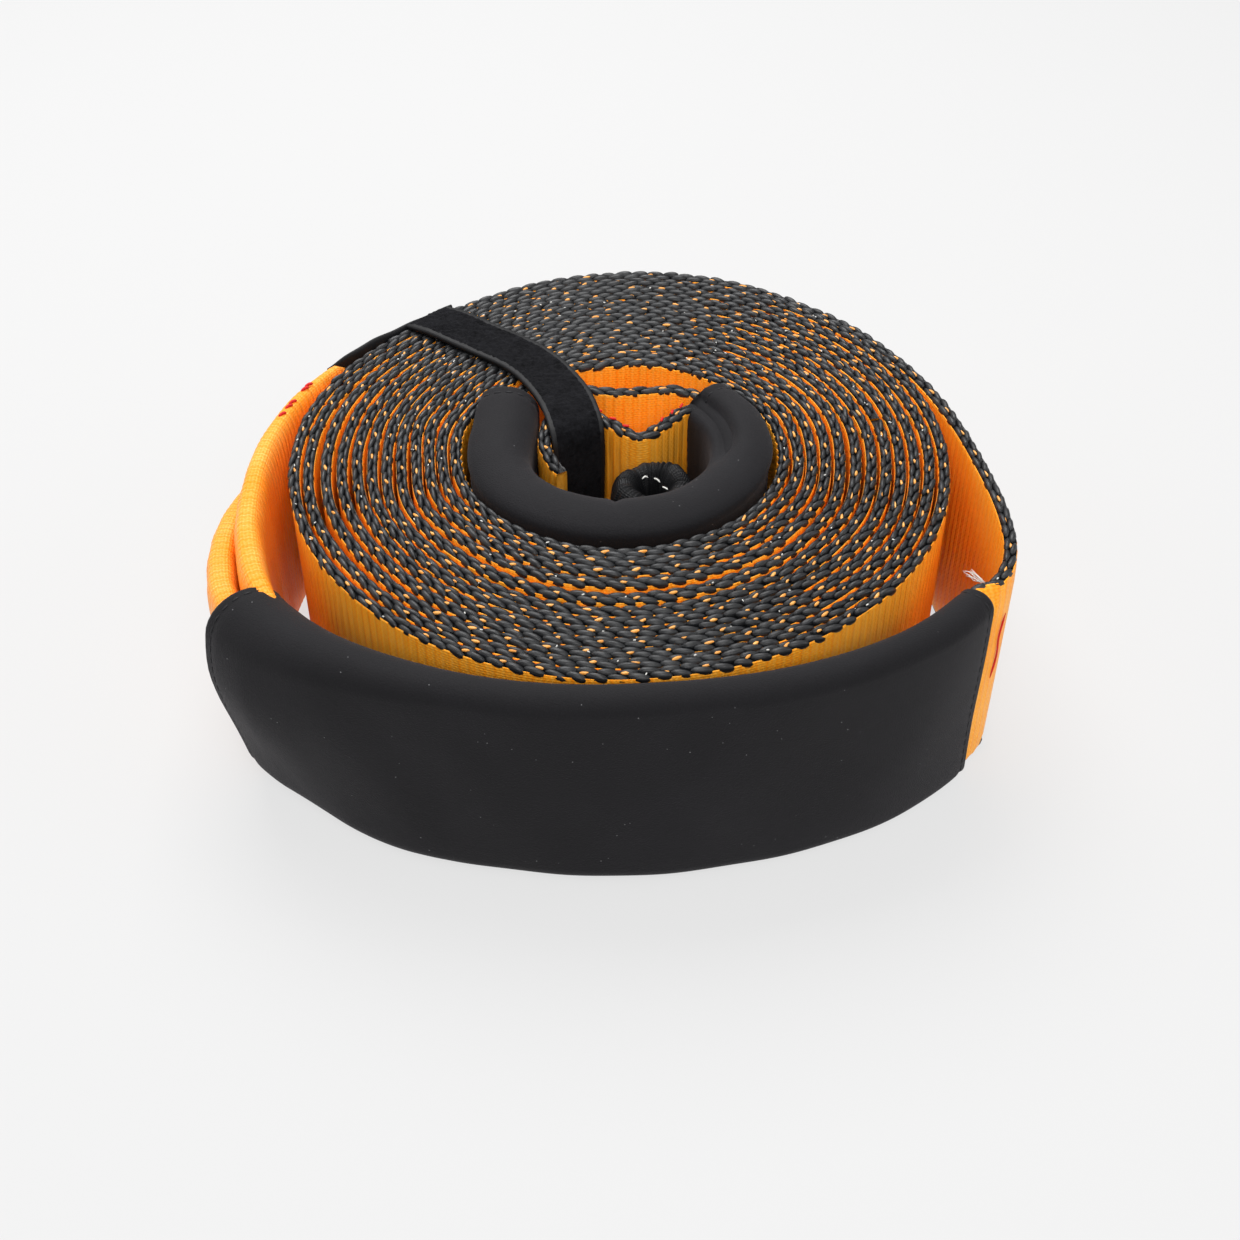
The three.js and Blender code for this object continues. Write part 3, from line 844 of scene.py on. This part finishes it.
def sleeve(path, start, end, half, low, high, round_share, shape, step=1.6):
    """A padded tube with rolled rims, closed round its wall."""
    wall = 3.0
    rows = int((end - start) / step)
    s = np.linspace(start, end, rows)
    rim = [(0.9, 0.5), (1.3, 1.5), (0.9, 2.5)]
    profile = [(x, 0.0) for x in s]
    profile += [(end + e, d) for e, d in rim]
    profile += [(x, wall) for x in s[::-1]]
    profile += [(start - e, d) for e, d in reversed(rim)]
    rings = []
    for x, depth in profile:
        share = np.clip((x - start) / (end - start), 0, 1)
        a = half(share) - depth
        lo, hi = low + depth, high(share) - depth
        ring = stadium(a, lo, hi, max(round_share * (half(share)) - depth, 0.4))
        ring = shape(share, x, ring, depth)
        xy = path.at(x) + path.normal(x, 3.0) * ring[:, :1]
        rings.append(np.column_stack([xy, ring[:, 1]]))
    rings = np.array(rings)
    count, cols = rings.shape[:2]
    faces = grid_faces(count, cols, closed_cols=True, closed_rows=True)
    return rings.reshape(-1, 3), faces[:, ::-1], rings[:rows]


def stitches(rings, row, name):
    """Hem stitches: short threads that follow a ring of the surface."""
    length, gap, radius, lift = 2.5, 3.9, 0.33, 0.1
    ring = rings[row]
    centre = ring.mean(0)
    closed = np.concatenate([ring, ring[:1]])
    d = arc_lengths(closed)
    pts, tris = plump(5, 6)
    verts, faces = [], []
    along_axis = rings[min(row + 1, len(rings) - 1)].mean(0) - rings[max(row - 1, 0)].mean(0)
    along_axis /= np.linalg.norm(along_axis)
    for k, at in enumerate(np.arange(0, d[-1] - gap / 2, gap)):
        x = np.stack([np.interp(at + pts[:, 0] * length / 2, d, closed[:, i], period=d[-1])
                      for i in range(3)], 1)
        t = np.stack([np.interp(at + 0.4, d, closed[:, i], period=d[-1])
                      - np.interp(at - 0.4, d, closed[:, i], period=d[-1]) for i in range(3)])
        t /= np.linalg.norm(t)
        out = np.cross(t, along_axis)
        if np.dot(out, x.mean(0) - centre) < 0:
            out = -out
        v = x + along_axis * pts[:, 1:2] * radius + out * (pts[:, 2:3] * radius + lift)
        faces.append(tris + len(pts) * k)
        verts.append(v)
    v, f = np.concatenate(verts), np.concatenate(faces)
    return mesh_piece(name, v, f, [DARK])


def outer_shape(share, x, ring, depth):
    """Soft swells over the front, a groove at each hem line, and a leaning left mouth."""
    hem = 0.4 * (np.exp(-((x - OUT_LEFT - 3.0) / 0.8) ** 2) + np.exp(-((x - OUT_RIGHT + 3.0) / 0.8) ** 2))
    z = ring[:, 1]
    outside = smooth(ring[:, 0], -2.0, 2.0)
    swell = (0.5 * np.sin(x / 23.0 + z / 31.0) + 0.35 * np.sin(x / 9.5 - z / 13.0 + 1.2)
             + 0.25 * np.sin(x / 5.1 + z / 8.0))
    ring = ring.copy()
    ring[:, 0] += ((0.60 * outside - 0.05) * swell + 0.3 * outside) * (depth < 1)
    mid = np.array([0.0, 37.5])
    if depth < 1:
        ring = mid + (ring - mid) * np.array([1 - hem / 8.0, 1 - hem / 38.0])
    lean = 1 - smooth(share, 0.05, 0.26)
    foot = 1 - smooth(z, 0, 40)
    ring[:, 0] += lean * (-1.0 - 5.6 * foot + 3.0 * np.exp(-((z - 50) / 16.0) ** 2) * outside)
    ring[:, 1] += (z > 60) * (0.35 * np.sin(x / 14.0) - 0.35) * (depth < 1)
    ring[:, 1] = np.maximum(ring[:, 1], 0.15 + depth)
    return ring


def outer_half(share):
    return np.interp(share, [0, 0.06, 0.14, 0.30, 0.5, 1], [11.8, 11.4, 9.0, 6.2, 5.7, 5.6])


def outer_high(share):
    return 74.9 - 0.5 * math.sin(math.pi * share)


v, f, outer_rings = sleeve(sleeve_path, OUT_LEFT + RIM, OUT_RIGHT - RIM, outer_half, SLEEVE_FOOT,
                           outer_high, 0.96, outer_shape)
outer_sleeve = mesh_piece("outer_sleeve_pad", v, f, [SLEEVE])
outer_stitch_a = stitches(outer_rings, 1, "outer_hem_left")
outer_stitch_b = stitches(outer_rings, -2, "outer_hem_right")


def inner_shape(share, x, ring, depth):
    """Puffy tube: a lengthwise fold in the right arm, a pinch at the front, hem grooves."""
    hem = 0.5 * (np.exp(-((x - IN_LEFT - 3.2) / 0.8) ** 2) + np.exp(-((x - IN_RIGHT + 3.2) / 0.8) ** 2))
    ring = ring.copy()
    z = ring[:, 1].copy()
    mid = np.array([0.0, 39.0])
    angle = np.degrees(np.arctan2(z - 68.5, ring[:, 0]))
    if depth < 1:
        arm = smooth(x, IN_RIGHT - 52, IN_RIGHT - 26)
        groove = arm * 5.4 * np.exp(-((angle - 118) / 15.0) ** 2) * (z > 62)
        lift = arm * 1.4 * np.exp(-((angle - 70) / 30.0) ** 2) * (z > 62)
        direction = np.stack([np.cos(np.radians(angle)), np.sin(np.radians(angle))], 1)
        ring = ring - direction * (groove - lift * 0.35)[:, None]
        pinch_at = s_of(inner_eye, 268)
        pinch = 1.5 * math.exp(-((x - pinch_at) / 1.5) ** 2)
        ring[:, 0] += pinch * (ring[:, 0] < 0) * smooth(z, 55, 70)
        swell = (0.35 * np.sin(x / 13.0 + z / 17.0) + 0.3 * np.sin(x / 6.3 - z / 9.0 + 0.7)
                 + 0.2 * np.sin(x / 3.7 + z / 5.0))
        ring[:, 0] += np.where(ring[:, 0] < 0, -0.45 * swell, 0.1 * swell)
        ring = mid + (ring - mid) * np.array([1 - hem / 9.0, 1 - hem / 38.0])
        ring[:, 0] += 2.3 * np.exp(-((ring[:, 1] - 76.4) / 3.0) ** 2) * (ring[:, 0] > 1)
    left = np.exp(-((x - s_of(inner_eye, 188)) / 30.0) ** 2)
    ring[:, 0] += 1.7 * left
    ring[:, 1] = np.clip(ring[:, 1], 0.15 + depth, 80.4 - depth)
    return ring


def inner_half(share):
    return np.interp(share, [0, 0.06, 0.2, 0.5, 0.8, 0.94, 1], [9.2, 9.8, 10.0, 9.0, 9.5, 9.4, 8.9])


def inner_high(share):
    return 79.8 - 1.8 * smooth(share, 0.86, 1.0)


v, f, inner_rings = sleeve(inner_eye, IN_LEFT + RIM, IN_RIGHT - RIM, inner_half, SLEEVE_FOOT,
                           inner_high, 0.92, inner_shape, step=1.3)
inner_sleeve = mesh_piece("inner_sleeve_pad", v, f, [SLEEVE])
inner_stitch_a = stitches(inner_rings, 2, "inner_hem_left")
inner_stitch_b = stitches(inner_rings, -3, "inner_hem_right")

# The tie tape
TAPE_WIDTH, TAPE_THICK = 18.0, 1.6
TAPE_STOPS = [(-69.2, 75.9, 43), (-63.8, 71.2, 46), (-47.5, 59.5, 50), (-31, 46, 46),
              (-20.8, 30, 36), (-15.8, 16, 28), (-13.6, 7.2, 25)]


def tape():
    """A closed band: over the coil, down into the bore, back underneath and up outside."""
    low, high, corner = TAPE_THICK / 2, WIDTH + 0.3 + TAPE_THICK / 2, 3.0
    heights = [low + corner, WIDTH / 2, high - corner]
    outside, inside, middle = TAPE_STOPS[0], TAPE_STOPS[-1], TAPE_STOPS[1:-1]
    stops = [(*outside, z) for z in heights] + [(*m, high) for m in middle]
    stops += [(*inside, z) for z in heights[::-1]] + [(*m, low) for m in middle[::-1]]
    stops = np.array(stops)
    line = catmull(np.column_stack([stops[:, 0], stops[:, 1], stops[:, 3], stops[:, 2]]), True, 40)
    centre, width_angle = line[:, :3], np.radians(line[:, 3])
    wrap = np.concatenate([centre, centre[:1]])
    d = arc_lengths(wrap)
    rows = int(d[-1] / 0.8)
    at = np.linspace(0, d[-1], rows, endpoint=False)
    wa = np.concatenate([width_angle, width_angle[:1]])
    c = np.stack([np.interp(at, d, wrap[:, k]) for k in range(3)], 1)
    w = np.interp(at, d, wa)
    t = np.roll(c, -2, 0) - np.roll(c, 2, 0)
    t /= np.linalg.norm(t, axis=1, keepdims=True)
    across = np.stack([np.cos(w), np.sin(w), np.zeros_like(w)], 1)
    across -= t * (across * t).sum(1, keepdims=True)
    across /= np.linalg.norm(across, axis=1, keepdims=True)
    normal = np.cross(t, across)
    cols_u = np.linspace(-1, 1, 25)
    rng = np.random.default_rng(4)
    half = TAPE_WIDTH / 2
    edge = np.abs(cols_u) > 0.88
    nap = rng.normal(0, 0.16, (rows, 25)) * ~edge
    up = np.full((rows, 25), TAPE_THICK / 2) + nap + 0.12 * ~edge
    down = np.full((rows, 25), -TAPE_THICK / 2)
    ring_u = np.concatenate([cols_u, cols_u[::-1]]) * half
    ring_v = np.concatenate([up, down[:, ::-1]], 1)
    points = (c[:, None] + across[:, None] * ring_u[None, :, None]
              + normal[:, None] * ring_v[..., None])
    points[..., 2] = np.maximum(points[..., 2], 0.05)
    faces = grid_faces(rows, 50, closed_cols=True, closed_rows=True)
    cell = np.tile(np.arange(50), rows)
    index = np.where((cell < 2) | (cell >= 22), 1, 0)
    uv = np.stack([np.broadcast_to(at[:, None], ring_v.shape),
                   np.broadcast_to(ring_u[None], ring_v.shape)], -1)
    return points.reshape(-1, 3), faces, uv.reshape(-1, 2), index


v, f, uv, index = tape()
tape_obj = mesh_piece("tie_tape_band", v, f, [FUZZ, SMOOTH_TAPE], uv, index)

# The tape's loose end, along the outside of the coil
tail_path = Path(catmull(polar([
    (126, 101.9), (133, 101.5), (140, 102.5), (147, 104.8), (152, 107.0), (156, 108.6)])), -1.0)


def tape_tail():
    """A flat band that thins towards its end and follows the webbing's upper edge."""
    rows = 60
    s = np.linspace(0, tail_path.length, rows)
    ring = np.array([(-0.7, 56), (-0.8, 66), (-0.8, 75.0), (-0.5, 75.9), (0, 76.2), (0.5, 75.9),
                     (0.8, 75.0), (0.8, 66), (0.7, 56)])
    drop = 1.6 * smooth(s, tail_path.length * 0.6, tail_path.length)
    thin = 1 - 0.45 * smooth(s, tail_path.length * 0.7, tail_path.length)
    lateral = ring[None, :, 0] * thin[:, None]
    xy = tail_path.at(s)[:, None] + tail_path.normal(s)[:, None] * lateral[..., None]
    z = ring[None, :, 1] - 0.5 - drop[:, None] + 0.15 * np.sin(s / 2.3)[:, None]
    points = np.concatenate([xy, z[..., None]], -1)
    faces = grid_faces(rows, 9, closed_cols=True)
    caps = np.array([[0, 1, 7, 8], [1, 2, 6, 7], [2, 3, 5, 6]])
    faces = np.concatenate([faces, caps[:, ::-1], caps + (rows - 1) * 9])
    return points.reshape(-1, 3), faces


v, f = tape_tail()
tape_tail_obj = mesh_piece("tie_tape_tail", v, f, [SMOOTH_TAPE])

# The gathered bag
BAG_CENTRE, BAG_RADIUS = np.array([10.6, -12.6]), 14.2


def bag():
    """A drawn-in bundle: a plump rim whose loose pleats run down into a dark hollow."""
    profile = [(0.0, 0.3), (0.5, 0.3), (0.80, 0.6), (0.90, 3), (0.95, 10), (0.97, 22), (0.94, 36),
               (0.97, 48), (0.98, 56), (0.97, 61), (0.92, 65.4), (0.80, 68.4), (0.65, 69.3),
               (0.51, 68.6), (0.40, 66.4), (0.31, 63.0), (0.24, 58.6), (0.18, 54.5), (0.0, 54)]
    line = catmull(np.array([(r * BAG_RADIUS, z) for r, z in profile]), False, 8)
    around = 300
    theta = 2 * math.pi * np.arange(around) / around
    rng = np.random.default_rng(9)
    drift = sum(rng.uniform(-1, 1) * np.sin(k * theta + rng.uniform(0, 6)) for k in (1, 2, 3, 5))
    swell = sum(rng.uniform(-1, 1) * np.sin(k * theta + rng.uniform(0, 6)) for k in (2, 4, 7))
    points = []
    for i, (r, z) in enumerate(line):
        share = i / len(line)
        hole = smooth(-r, -0.95 * BAG_RADIUS, -0.3 * BAG_RADIUS) if share > 0.45 else 0.0
        wander = 0.16 * drift + 0.10 * math.sin(z / 4.0) * np.sin(3 * theta)
        coarse = np.cos(15 * (theta + wander))
        fine = np.cos(31 * (theta + 0.5 * wander) + 1.3)
        pleat = 1 - 1.25 * np.abs(coarse) ** 0.8 + 0.28 * fine
        low = smooth(z, 18, 62)
        rr = r * (1 + 0.022 * swell * smooth(r, 1, 5)) - 0.45 * pleat * low * min(1.0, r / 7)
        zz = z - (0.15 + 1.05 * hole) * pleat * smooth(z, 52, 68) * smooth(r, 0.5, 4.5)
        zz = zz + 0.8 * np.sin(2 * theta + 0.6) * smooth(z, 50, 66)
        points.append(np.stack([BAG_CENTRE[0] + rr * np.cos(theta),
                                BAG_CENTRE[1] + rr * np.sin(theta), np.maximum(zz, 0.2)], 1))
    points = np.array(points)[1:-1]
    rows = len(points)
    faces = grid_faces(rows, around, closed_cols=True)
    flat = points.reshape(-1, 3)
    ends = []
    for row, flip in ((0, True), (rows - 1, False)):
        flat = np.concatenate([flat, [points[row].mean(0)]])
        hub = len(flat) - 1
        for j in range(0, around, 2):
            q = [row * around + j, row * around + (j + 1) % around, row * around + (j + 2) % around, hub]
            ends.append(q[::-1] if flip else q)
    faces = np.concatenate([faces, np.array(ends)])
    d = arc_lengths(line[1:-1])
    uv = np.stack(np.meshgrid(theta * BAG_RADIUS, d), -1).reshape(-1, 2)
    return flat, faces, np.concatenate([uv, np.zeros((2, 2))])


v, f, uv = bag()
bag_obj = mesh_piece("gathered_bag_cloth", v, f, [BAG], uv)


def threads(name, lines, radius, material):
    """Thin threads that follow given points."""
    sides = 6
    verts, faces, base = [], [], 0
    for line in lines:
        p = catmull(np.array(line, float), False, 6)
        t = np.gradient(p, axis=0)
        t /= np.linalg.norm(t, axis=1, keepdims=True)
        a = np.cross(t, [0.3, 0.2, 0.93])
        a /= np.linalg.norm(a, axis=1, keepdims=True)
        b = np.cross(t, a)
        f = 2 * math.pi * np.arange(sides) / sides
        shrink = np.minimum(1, np.minimum(np.arange(len(p)), np.arange(len(p))[::-1]) * 0.35 + 0.3)
        r = radius * shrink
        ring = p[:, None] + r[:, None, None] * (a[:, None] * np.cos(f)[None, :, None]
                                                + b[:, None] * np.sin(f)[None, :, None])
        verts.append(ring.reshape(-1, 3))
        faces.append(grid_faces(len(p), sides, closed_cols=True) + base)
        caps = np.array([[j, j + 1, sides - 2 - j, sides - 1 - j] for j in range(sides // 2 - 1)])
        faces.append(caps[:, ::-1] + base)
        faces.append(caps + base + (len(p) - 1) * sides)
        base += len(p) * sides
    return mesh_piece(name, np.concatenate(verts), np.concatenate(faces), [material])


# Loose threads and stitches
bx, by = BAG_CENTRE
bag_stitches = threads("bag_stitches", [
    [(bx - 3.4, by + 1.6, 68.6), (bx - 2.4, by + 2.4, 69.0), (bx - 1.4, by + 2.6, 68.4)],
    [(bx + 0.4, by + 2.6, 68.2), (bx + 1.4, by + 2.2, 68.0), (bx + 2.4, by + 1.4, 67.4)],
    [(bx + 3.0, by - 2.2, 68.4), (bx + 3.8, by - 3.2, 68.8), (bx + 4.8, by - 4.0, 68.6)]],
    0.28, PALE)


def on_lobe(azimuth, radius, z):
    """A point on the folded leg."""
    a = math.radians(azimuth)
    return (radius * math.cos(a), radius * math.sin(a), z)


red_lines = []
for azimuth, radius in ((162.6, 108.7), (163.9, 108.9), (168.2, 110.0), (169.6, 110.4), (172.0, 111.2)):
    red_lines.append([on_lobe(azimuth - 0.5, radius - 1.0, 75.2), on_lobe(azimuth, radius, 75.4),
                      on_lobe(azimuth + 0.7, radius + 1.1, 74.7)])
leg_stitches = threads("leg_stitches", red_lines, 0.5, RED)
fold_lines = []
for at in (4.5, 9.0, 14.5, 31.0, 37.0, 43.5):
    fold_lines.append([
        fold_run.place(np.array([at + d]), np.array([-0.9 + 0.5 * d]), np.array([74.9]))[0]
        for d in (-1.1, 0.0, 1.1)])
fold_stitches = threads("fold_stitches", fold_lines, 0.42, RED)
loose_at = MOUTH_S - 9
loose_red = threads("loose_red_thread", [
    [coil_run.place(np.array([loose_at + d]), np.array([2.55]), np.array([z]))[0]
     for d, z in ((0, 60.0), (1.6, 52.0), (0.6, 43.0), (2.2, 35.0))]], 0.3, RED)
mouth = coil_run.place(np.array([MOUTH_S - 3.0]), np.array([0.0]), np.array([74.0]))[0]
frays = []
rng = np.random.default_rng(7)
for _ in range(9):
    d = rng.normal(0, 1, 3)
    end = mouth + np.array([-3.5 + d[0] * 1.6, 2.0 + d[1] * 1.6, 1.2 + abs(d[2]) * 1.4])
    mid = (mouth + end) / 2 + rng.normal(0, 0.6, 3)
    frays.append([mouth + rng.normal(0, 0.4, 3), mid, end])
fray = threads("mouth_fray", frays, 0.11, PALE)

webbing += [leg_stitches, fold_stitches, loose_red, fray]


def dress(pieces, node):
    """Say what pieces ride on and which solid they replace."""
    for piece in pieces:
        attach(piece, "root")
        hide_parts(node)


dress(webbing, "webbing_strap")
dress([outer_sleeve, outer_stitch_a, outer_stitch_b], "outer_sleeve")
dress([inner_sleeve, inner_stitch_a, inner_stitch_b], "inner_sleeve")
dress([tape_obj, tape_tail_obj], "tie_tape")
dress([bag_obj, bag_stitches], "gathered_bag")

# Floor, light and camera
scene = bpy.context.scene
bpy.ops.mesh.primitive_plane_add(size=6.0, location=(0, 0, 0))
floor = bpy.context.object
floor.name = "floor"
floor_paint = Nodes("floor_paint")
floor_paint.set(colour=(0.15, 0.15, 0.15), rough=0.9, spec=0.0)
floor_paint.bsdf.inputs["Emission Color"].default_value = (1, 1, 1, 1)
floor_paint.bsdf.inputs["Emission Strength"].default_value = 0.66
floor.data.materials.append(floor_paint.m)

world = bpy.data.worlds.new("studio")
world.use_nodes = True
world.node_tree.nodes["Background"].inputs[0].default_value = (1, 1, 1, 1)
world.node_tree.nodes["Background"].inputs[1].default_value = 0.42
scene.world = world


def softbox(name, at, to, size, power):
    """A square area light, in metres and watts."""
    data = bpy.data.lights.new(name, "AREA")
    data.shape = "SQUARE"
    data.size = size
    data.energy = power
    obj = bpy.data.objects.new(name, data)
    obj.location = at
    obj.rotation_euler = (Vector(to) - Vector(at)).to_track_quat("-Z", "Y").to_euler()
    scene.collection.objects.link(obj)


softbox("top_box", (-0.15, 0.55, 1.0), (0, 0, 0), 0.8, 14.0)
softbox("front_box", (0.1, -1.0, 1.1), (0, 0, 0.04), 0.8, 11.0)
softbox("left_box", (-1.1, 0.1, 0.6), (0, 0, 0.04), 0.7, 3.0)
softbox("right_box", (1.1, -0.1, 0.6), (0, 0, 0.04), 0.7, 3.0)

target = Vector((CENTRE[0] + 0.2, CENTRE[1] - 43.3, 37.4)) * MM
camera_data = bpy.data.cameras.new("camera")
camera_data.sensor_width = 36
camera_data.lens = 49.35
camera = bpy.data.objects.new("camera", camera_data)
camera.location = target + Vector((0, -400.3, 357.9)) * MM
camera.rotation_euler = (target - camera.location).to_track_quat("-Z", "Y").to_euler()
scene.collection.objects.link(camera)
scene.camera = camera
scene.view_settings.view_transform = "Standard"
